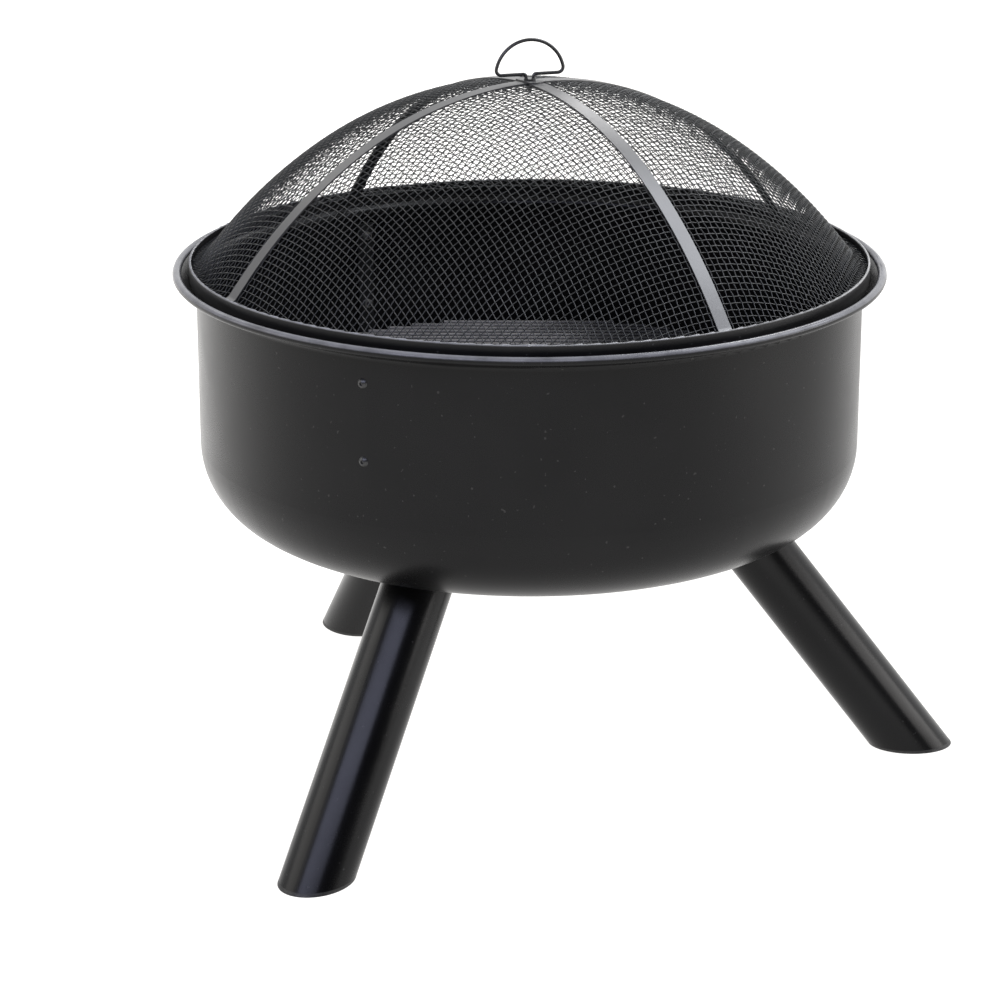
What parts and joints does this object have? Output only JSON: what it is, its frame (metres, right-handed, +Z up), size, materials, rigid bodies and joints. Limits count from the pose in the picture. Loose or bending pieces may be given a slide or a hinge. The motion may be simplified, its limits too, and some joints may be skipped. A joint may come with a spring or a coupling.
{
  "type": "fire pit with grate",
  "caption": "Round steel fire pit: spun bowl on splayed tube legs, lift-out wire fire grate and a lift-off domed mesh spark screen with strap ribs and a wire handle.",
  "frame": {"origin": "on the ground under the bowl's axis", "axes": "+Z up; +X along one leg; -Y is the front"},
  "size_m": [0.7413, 0.7194, 0.688],
  "materials": {
    "bowl_paint": "satin black heat-resistant paint, fine grain",
    "leg_paint": "semi-gloss black paint",
    "lid_paint": "satin black paint",
    "strap_paint": "satin black paint",
    "handle_paint": "satin black paint",
    "screen_wire": "black painted woven wire",
    "plated_wire": "dull chrome plating",
    "bracket_paint": "satin black paint",
    "zinc_steel": "bright zinc plating",
    "black_bolts": "black oxide",
    "foot_plastic": "moulded black"
  },
  "bodies": {
    "stand": {"bowl": "bowl_paint", "bracket_bolts": "black_bolts", "bracket_nuts": "zinc_steel", "leg_1": "leg_paint", "leg_plate_1": "leg_paint", "foot_cap_1": "foot_plastic", "grate_bracket_1": "bracket_paint", "leg_bolts_1": "zinc_steel", "leg_nuts_1": "zinc_steel", "leg_washers_1": "zinc_steel", "leg_2": "leg_paint", "leg_plate_2": "leg_paint", "foot_cap_2": "foot_plastic", "grate_bracket_2": "bracket_paint", "leg_bolts_2": "zinc_steel", "leg_nuts_2": "zinc_steel", "leg_washers_2": "zinc_steel", "leg_3": "leg_paint", "leg_plate_3": "leg_paint", "foot_cap_3": "foot_plastic", "grate_bracket_3": "bracket_paint", "leg_bolts_3": "zinc_steel", "leg_nuts_3": "zinc_steel", "leg_washers_3": "zinc_steel"},
    "grate": {"fire_grate": "plated_wire"},
    "lid": {"lid_hoop": "lid_paint", "spark_screen": "screen_wire", "upper_strap": "strap_paint", "lower_strap": "strap_paint", "handle_wire": "handle_paint", "handle_stud": "handle_paint", "handle_washer": "black_bolts", "handle_nut": "black_bolts"}
  },
  "joints": [
    {"name": "lid_lift", "type": "slide", "parent": "stand", "child": "lid", "axis": [0, 0, 1], "range_m": [0, 0.35]},
    {"name": "grate_lift", "type": "slide", "parent": "stand", "child": "grate", "axis": [0, 0, 1], "range_m": [0, 0.145]}
  ]
}
